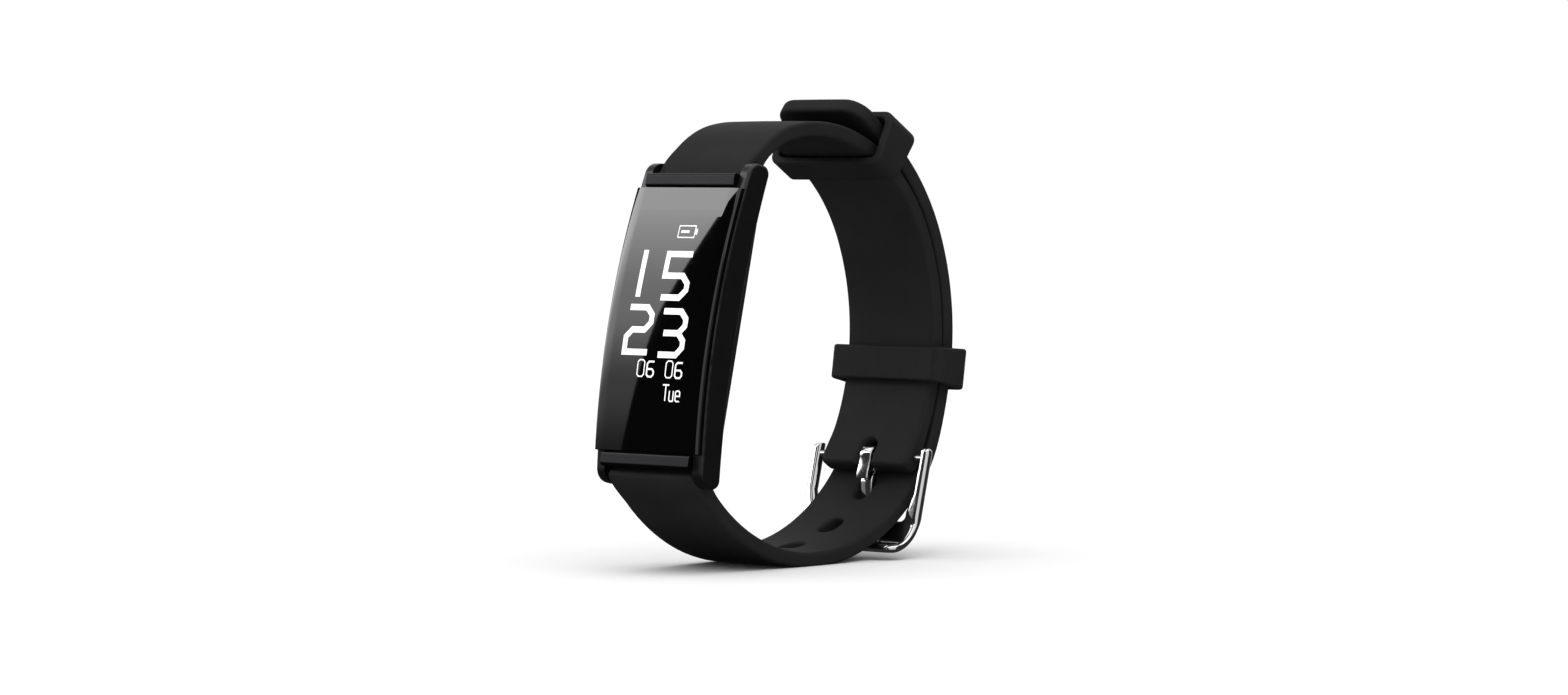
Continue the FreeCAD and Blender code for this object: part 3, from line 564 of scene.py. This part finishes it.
def build_tang():
    """Strip tongue: folded round the pin, its free end on the inside, then down and under the plate."""
    drop_y = BEND_C[0] + TANG_REST_R
    pin_y, pin_z = BUCKLE_PIN
    blade_top = (drop_y, pin_z - BLADE_FALL)
    points = [(drop_y - PIN_R - TANG_T + LOOP_LIFT, pin_z - LOOP_FREE_L)]
    points += hermite(points[0], LOOP_TANGENTS[0], (pin_y - LOOP_R, pin_z), LOOP_TANGENTS[1], 24)[1:]
    points += arc(BUCKLE_PIN, LOOP_R, 180.0, -10.0, 0.08)[1:]
    points += hermite(points[-1], BLADE_TANGENTS[0], blade_top, BLADE_TANGENTS[1], 30)[1:]
    points += straight(blade_top, (drop_y, BEND_C[1]), 10)[1:]
    points += arc(BEND_C, TANG_REST_R, 0.0, -90.0, 0.12)[1:]
    points.append((BEND_C[0] - TANG_END_L, BEND_C[1] - TANG_REST_R))
    path = Path(points)
    outline = rounded_outline(TANG_W / 2, 0.0, path.length, TANG_FREE_R, TANG_TIP_R)
    mesh = flat_piece("buckle_tang_polished", [outline], TANG_T, TANG_EDGE_R, TANG_ROUNDNESS)
    return bent("buckle_tang_polished", mesh, along(path), TANG_STEP, 0.0, "tang", CHROME, "buckle_tang")


build_frame()
build_tang()


# ---------------------------------------------------------------- case

def case_place(x, depth, up):
    """Position in the band's frame of a point in the case's own upright frame."""
    cos, sin = math.cos(CASE_LEAN), math.sin(CASE_LEAN)
    return (x, CASE_AT[0] + depth * cos - up * sin, CASE_AT[1] + depth * sin + up * cos)


def lens_arch(up):
    """Depth of the glass face along its middle."""
    return LENS_CREST + LENS_R - math.sqrt(LENS_R ** 2 - up * up)


def lens_depth(x, up, sink=0.0):
    """Depth of the glass face: arched along its length, with long edges that ease over."""
    arch = lens_arch(up)
    f = min(max((abs(x) - LENS_W / 2 + EASE_W) / EASE_W, 0.0), 1.0)
    return arch + EASE_SLOPE * f + EASE_DROP * (1.0 - math.sqrt(1.0 - f * f)) + sink


def build_lens():
    """Closed glass slab with a fine grid on its face."""
    half, half_l = LENS_W / 2, LENS_L / 2
    xs = [half * math.sin(math.pi / 2 * i / LENS_COLUMNS) for i in range(-LENS_COLUMNS, LENS_COLUMNS + 1)]
    ups = [half_l * i / LENS_ROWS for i in range(-LENS_ROWS, LENS_ROWS + 1)]
    bm = bmesh.new()
    face = [[bm.verts.new(Vector(case_place(x, lens_depth(x, u), u)) * MM) for x in xs] for u in ups]
    back = [[bm.verts.new(Vector(case_place(x, LENS_T + lens_arch(u), u)) * MM) for x in (xs[0], xs[-1])]
            for u in ups]
    for rows, line in ((face, range(len(xs) - 1)), (back, range(1))):
        for i in range(len(ups) - 1):
            for k in line:
                bm.faces.new((rows[i][k], rows[i][k + 1], rows[i + 1][k + 1], rows[i + 1][k]))
    for i in range(len(ups) - 1):
        bm.faces.new((face[i][0], face[i + 1][0], back[i + 1][0], back[i][0]))
        bm.faces.new((face[i][-1], back[i][-1], back[i + 1][-1], face[i + 1][-1]))
    for row, rear in ((face[0], back[0]), (face[-1], back[-1])):
        bm.faces.new(row + [rear[1], rear[0]])
    bmesh.ops.recalc_face_normals(bm, faces=bm.faces)
    return finished("lens_glass_rolled", bm, "case", GLASS, "lens_glass")


build_lens()

CARRIED = {
    "case_housing": HOUSING, "end_bar_upper": BAR_METAL, "end_bar_lower": BAR_METAL, "rear_cover": COVER,
    "sensor_window": GLASS, "oled_panel": GLASS, "buckle_pin": STEEL, "lens_adhesive": FOAM,
    "touch_pad_film": COPPER, "display_flex": RIBBON, "main_board": LAMINATE, "battery_board": LAMINATE,
    "sensor_board": LAMINATE, "board_chips": STEEL, "battery_cell": FOIL, "motor_can": STEEL,
    "motor_rotor": HEAVY_ALLOY, "sensor_lamps": LAMP, "sensor_photodiode": EPOXY, "charging_contacts": GOLD,
    "rear_seal": SEAL,
}


def dress_carried_nodes():
    """Give every CAD piece that is shown as it is its own surface."""
    for node, obj in frame["nodes"].items():
        if not obj.hide_render:
            obj.data.materials.clear()
            obj.data.materials.append(CARRIED.get(node, STEEL))


dress_carried_nodes()


# ---------------------------------------------------------------- display

DISPLAY_LIFT, DISPLAY_REACH, DISPLAY_STEP = -0.02, 18.0, 0.8
FIGURE_CUT, TIME_PEN = 0.24, 0.84
TIME_FIGURES = (("1", -4.9, 2.6, 0.9, 6.4), ("5", -0.3, 2.6, 4.25, 5.9),
                ("2", -5.35, -4.8, 4.1, 6.0), ("3", 0.75, -5.05, 4.1, 5.8))
DATE_FIGURES = (("0", -2.55, -8.0, 1.2, 2.2, 0.17), ("6", -0.85, -8.0, 1.2, 2.0, 0.24),
                ("0", 2.5, -8.05, 1.2, 2.2, 0.17), ("6", 4.2, -8.05, 1.2, 2.0, 0.24),
                ("T", 2.35, -11.1, 1.1, 2.1, 0.19), ("u", 3.6, -11.1, 0.7, 1.35, 0.19),
                ("e", 4.7, -11.1, 0.75, 1.35, 0.19))
CELL_LINES = ((((0.5, 10.8), (3.4, 10.8), (3.4, 12.4), (0.5, 12.4), (0.5, 10.8)), 0.15),
              (((3.7, 11.2), (3.7, 12.0)), 0.3), (((0.95, 11.6), (2.4, 11.6)), 0.35))


def display_shape(name, outlines):
    """Lit figures laid on the arched face; outlines are in (x, up) on the case."""
    bm = bmesh.new()
    for outline in outlines:
        bm.faces.new([bm.verts.new((x, u, 0.0)) for x, u in outline])
    bmesh.ops.triangulate(bm, faces=bm.faces)
    slice_up(bm, 1, -DISPLAY_REACH, DISPLAY_REACH, DISPLAY_STEP)
    for v in bm.verts:
        v.co = Vector(case_place(v.co.x, lens_depth(v.co.x, v.co.y, DISPLAY_LIFT), v.co.y)) * MM
    bmesh.ops.recalc_face_normals(bm, faces=bm.faces)
    obj = finished(name, bm, "case", LIT)


def stroke(points, width):
    """Closed outline of a line of constant width with mitred corners."""
    sides = []
    for side in (1, -1):
        line = []
        for i, p in enumerate(points):
            before = points[i - 1] if i else p
            after = points[i + 1] if i + 1 < len(points) else p
            units = []
            for a, b in ((before, p), (p, after)):
                d = math.dist(a, b)
                if d > 0:
                    units.append(((b[0] - a[0]) / d, (b[1] - a[1]) / d))
            nx = -sum(u[1] for u in units)
            ny = sum(u[0] for u in units)
            size = math.hypot(nx, ny)
            nx, ny = nx / size, ny / size
            half = width / 2 / max(0.5, nx * -units[0][1] + ny * units[0][0])
            line.append((p[0] + side * nx * half, p[1] + side * ny * half))
        sides.append(line)
    return sides[0] + sides[1][::-1]


def figure(char, x0, u0, w, h, pen):
    """Strokes of one read-out figure with cut corners, in the box whose lower left corner is (x0, u0)."""
    x1, u1 = x0 + w, u0 + h
    m, c = u0 + h * 0.5, min(w, h) * FIGURE_CUT
    lines = {
        "0": [[(x0 + c, u1), (x1 - c, u1), (x1, u1 - c), (x1, u0 + c), (x1 - c, u0), (x0 + c, u0),
               (x0, u0 + c), (x0, u1 - c), (x0 + c, u1)]],
        "1": [[(x0 + w / 2, u1), (x0 + w / 2, u0)]],
        "2": [[(x0, u1), (x1 - c, u1), (x1, u1 - c), (x1, m + c), (x1 - c, m), (x0 + c, m),
               (x0, m - c), (x0, u0), (x1, u0)]],
        "3": [[(x0, u1), (x1 - c, u1), (x1, u1 - c), (x1, m + c), (x1 - c, m)],
              [(x0 + c / 2, m), (x1 - c, m)],
              [(x1 - c, m), (x1, m - c), (x1, u0 + c), (x1 - c, u0), (x0, u0)]],
        "5": [[(x1, u1), (x0, u1), (x0, m), (x1 - c, m), (x1, m - c), (x1, u0 + c), (x1 - c, u0), (x0, u0)]],
        "6": [[(x1, u1), (x0 + c, u1), (x0, u1 - c), (x0, u0 + c), (x0 + c, u0), (x1 - c, u0), (x1, u0 + c),
               (x1, m - c), (x1 - c, m), (x0, m)]],
        "T": [[(x0, u1), (x1, u1)], [(x0 + w / 2, u1), (x0 + w / 2, u0)]],
        "u": [[(x0, u1), (x0, u0 + c), (x0 + c, u0), (x1, u0)], [(x1, u1), (x1, u0)]],
        "e": [[(x0, m), (x1, m), (x1, u1 - c), (x1 - c, u1), (x0 + c, u1), (x0, u1 - c),
               (x0, u0 + c), (x0 + c, u0), (x1, u0)]],
    }
    return [stroke(line, pen) for line in lines[char]]


def build_display():
    """Generic clock read-out: time, battery level, date and weekday."""
    display_shape("display_time", [line for args in TIME_FIGURES for line in figure(*args, TIME_PEN)])
    display_shape("display_date", [line for args in DATE_FIGURES for line in figure(*args)])
    display_shape("display_battery", [stroke(points, pen) for points, pen in CELL_LINES])


build_display()


# ---------------------------------------------------------------- studio

CAMERA_AZIMUTH, CAMERA_ELEVATION, CAMERA_DISTANCE, CAMERA_LENS = 41.5, 2.2, 675.0, 114.8
CAMERA_AIM = (8.9, -1.85)
FLOOR_SIZE_M, CARD_DISTANCE_M, OUTER_CARD_SCALE = 8.0, 0.60, 1.5
SUN_ENERGY, SUN_ANGLE_DEG, SUN_TILT_DEG = 2.3, 95.0, (12.0, 8.0, 0.0)
WORLD_DIFFUSE, WORLD_GLOSSY = 0.5, 0.03
FACE_CARD_ROWS, CARD_UP, CARD_LEFT = 48, 27.0, -700.0
GLARE_EDGE = ((-27.1, -6.1), (-18.7, -4.5), (-5.0, -1.7), (0.5, -0.2), (9.0, 4.2), (18.7, 9.4), (27.1, 13.8))
FACE_CARD_LEVELS = ((0.155, 0.22), (0.33, 0.8), (0.535, 2.7), (0.845, 5.6))
SIDE_CARD_LEVELS = ((0.0, 0.45), (0.4, 0.8), (1.0, 1.0))
EDGE_CARD_LEVELS = ((0.0, 0.8), (1.0, 1.1))
OUTER_CARDS = (("edge_card", (-20.0, 0.0), (-10.0, 45.0), EDGE_CARD_LEVELS),
               ("back_card", (168.0, 250.0), (-8.0, 60.0), SIDE_CARD_LEVELS),
               ("side_card", (28.0, 98.0), (-12.0, 60.0), SIDE_CARD_LEVELS))


def heading(azimuth, elevation):
    """Unit vector, with azimuth measured from the front towards the band's right side, in degrees."""
    a, e = math.radians(azimuth), math.radians(elevation)
    return Vector((math.sin(a) * math.cos(e), -math.cos(a) * math.cos(e), math.sin(e)))


def camera_place():
    """Camera position and aim point in metres."""
    target = Vector((0.0, BACK_C[0] + CAMERA_AIM[0], BACK_C[1] + CAMERA_AIM[1])) * MM
    return target + heading(CAMERA_AZIMUTH, CAMERA_ELEVATION) * CAMERA_DISTANCE * MM, target


def lens_normal(x, up):
    """Place in metres, and outward direction, of a point on the glass face."""
    p = Vector(case_place(x, lens_depth(x, up), up))
    across = Vector(case_place(x + 0.01, lens_depth(x + 0.01, up), up)) - p
    along_case = Vector(case_place(x, lens_depth(x, up + 0.01), up + 0.01)) - p
    n = across.cross(along_case).normalized()
    return p * MM, n if n.y < 0 else -n


def mirrored(x, up, plane_at, plane_n):
    """Where the camera's ray off the glass at (x, up) meets the card's plane."""
    place, n = lens_normal(x, up)
    ray = (place - camera_place()[0]).normalized()
    ray = ray - 2 * ray.dot(n) * n
    return place + ray * ((plane_at - place).dot(plane_n) / ray.dot(plane_n))


def reflector(name, sides, levels):
    """Glowing studio card, brighter towards its top, seen only in reflections."""
    bm = bmesh.new()
    rows = len(sides) - 1
    uv = bm.loops.layers.uv.new("UVMap")
    lines = [(bm.verts.new(left), bm.verts.new(right)) for left, right in sides]
    for i in range(rows):
        face = bm.faces.new((lines[i][0], lines[i][1], lines[i + 1][1], lines[i + 1][0]))
        for loop, (u, v) in zip(face.loops, ((0, i), (1, i), (1, i + 1), (0, i + 1))):
            loop[uv].uv = (u, v / rows)
    mesh = bpy.data.meshes.new(name)
    bm.to_mesh(mesh)
    obj = bpy.data.objects.new(name, mesh)
    bpy.context.scene.collection.objects.link(obj)
    material = bpy.data.materials.new(name)
    material.use_nodes = True
    tree = material.node_tree
    tree.nodes.clear()
    coords = tree.nodes.new("ShaderNodeTexCoord")
    split = tree.nodes.new("ShaderNodeSeparateXYZ")
    ramp = tree.nodes.new("ShaderNodeValToRGB")
    glow = tree.nodes.new("ShaderNodeEmission")
    out = tree.nodes.new("ShaderNodeOutputMaterial")
    top = max(level for _, level in levels)
    ramp.color_ramp.interpolation = "EASE"
    elements = ramp.color_ramp.elements
    while len(elements) < len(levels):
        elements.new(0.5)
    for element, (position, level) in zip(elements, levels):
        element.position = position
        element.color = (level / top, level / top, level / top, 1.0)
    glow.inputs["Strength"].default_value = top
    tree.links.new(coords.outputs["UV"], split.inputs[0])
    tree.links.new(split.outputs["Y"], ramp.inputs["Fac"])
    tree.links.new(ramp.outputs["Color"], glow.inputs["Color"])
    tree.links.new(glow.outputs[0], out.inputs["Surface"])
    obj.data.materials.append(material)
    obj.visible_camera = False
    obj.visible_diffuse = False
    obj.visible_shadow = False


def build_cards():
    """Card mirrored in the face of the glass, and outer ones for its rolled edge and the chrome."""
    middle, n = lens_normal(0.0, 0.0)
    ray = (middle - camera_place()[0]).normalized()
    toward = ray - 2 * ray.dot(n) * n
    plane_at = middle + toward * CARD_DISTANCE_M
    sides = []
    for i in range(FACE_CARD_ROWS + 1):
        up = -CARD_UP + 2 * CARD_UP * i / FACE_CARD_ROWS
        right = next(x0 + (x1 - x0) * (up - u0) / (u1 - u0)
                     for (u0, x0), (u1, x1) in zip(GLARE_EDGE, GLARE_EDGE[1:]) if up <= u1)
        sides.append([mirrored(x, up, plane_at, toward) for x in (CARD_LEFT, right)])
    reflector("face_card", sides, FACE_CARD_LEVELS)
    for name, azimuths, elevations, levels in OUTER_CARDS:
        rows = [[middle + heading(azimuth, elevation) * CARD_DISTANCE_M * OUTER_CARD_SCALE
                 for azimuth in azimuths] for elevation in elevations]
        reflector(name, rows, levels)


def build_studio():
    """Pale floor, plain surroundings set by kind of ray, and one wide soft light from above."""
    bpy.ops.mesh.primitive_plane_add(size=FLOOR_SIZE_M, location=(0, 0, 0))
    floor = bpy.context.object
    floor.name = "floor"
    m = Nodes("floor_paper", Roughness=0.8)
    m.set(m.shader, Specular_IOR_Level=0.1)
    m.link(m.ramp(m.noise(3.0), (0.3, (0.90, 0.90, 0.90)), (0.7, (0.92, 0.92, 0.92))), "Base Color")
    floor.data.materials.append(m.material)
    floor.visible_glossy = False
    world = bpy.data.worlds.new("studio")
    bpy.context.scene.world = world
    world.use_nodes = True
    tree = world.node_tree
    path = tree.nodes.new("ShaderNodeLightPath")
    mixed = tree.nodes["Background"].outputs[0]
    tree.nodes["Background"].inputs["Strength"].default_value = WORLD_GLOSSY
    for ray, strength in (("Is Diffuse Ray", WORLD_DIFFUSE), ("Is Camera Ray", 1.0)):
        sky = tree.nodes.new("ShaderNodeBackground")
        sky.inputs["Color"].default_value = (1.0, 1.0, 1.0, 1.0)
        sky.inputs["Strength"].default_value = strength
        mix = tree.nodes.new("ShaderNodeMixShader")
        tree.links.new(path.outputs[ray], mix.inputs["Fac"])
        tree.links.new(mixed, mix.inputs[1])
        tree.links.new(sky.outputs[0], mix.inputs[2])
        mixed = mix.outputs[0]
    tree.nodes["Background"].inputs["Color"].default_value = (1.0, 1.0, 1.0, 1.0)
    tree.links.new(mixed, tree.nodes["World Output"].inputs["Surface"])
    sun = bpy.data.lights.new("soft_sky", "SUN")
    sun.energy = SUN_ENERGY
    sun.angle = math.radians(SUN_ANGLE_DEG)
    lamp = bpy.data.objects.new("soft_sky", sun)
    bpy.context.scene.collection.objects.link(lamp)
    lamp.rotation_euler = [math.radians(tilt) for tilt in SUN_TILT_DEG]
    bpy.context.scene.view_settings.view_transform = "Standard"


def build_camera():
    """Long lens, front right, just above the band's middle."""
    place, target = camera_place()
    data = bpy.data.cameras.new("camera")
    data.sensor_width = 36.0
    data.lens = CAMERA_LENS
    data.clip_start = 0.01
    camera = bpy.data.objects.new("camera", data)
    bpy.context.scene.collection.objects.link(camera)
    camera.location = place
    camera.rotation_euler = (target - place).to_track_quat("-Z", "Y").to_euler()
    bpy.context.scene.camera = camera


build_studio()
build_cards()
build_camera()
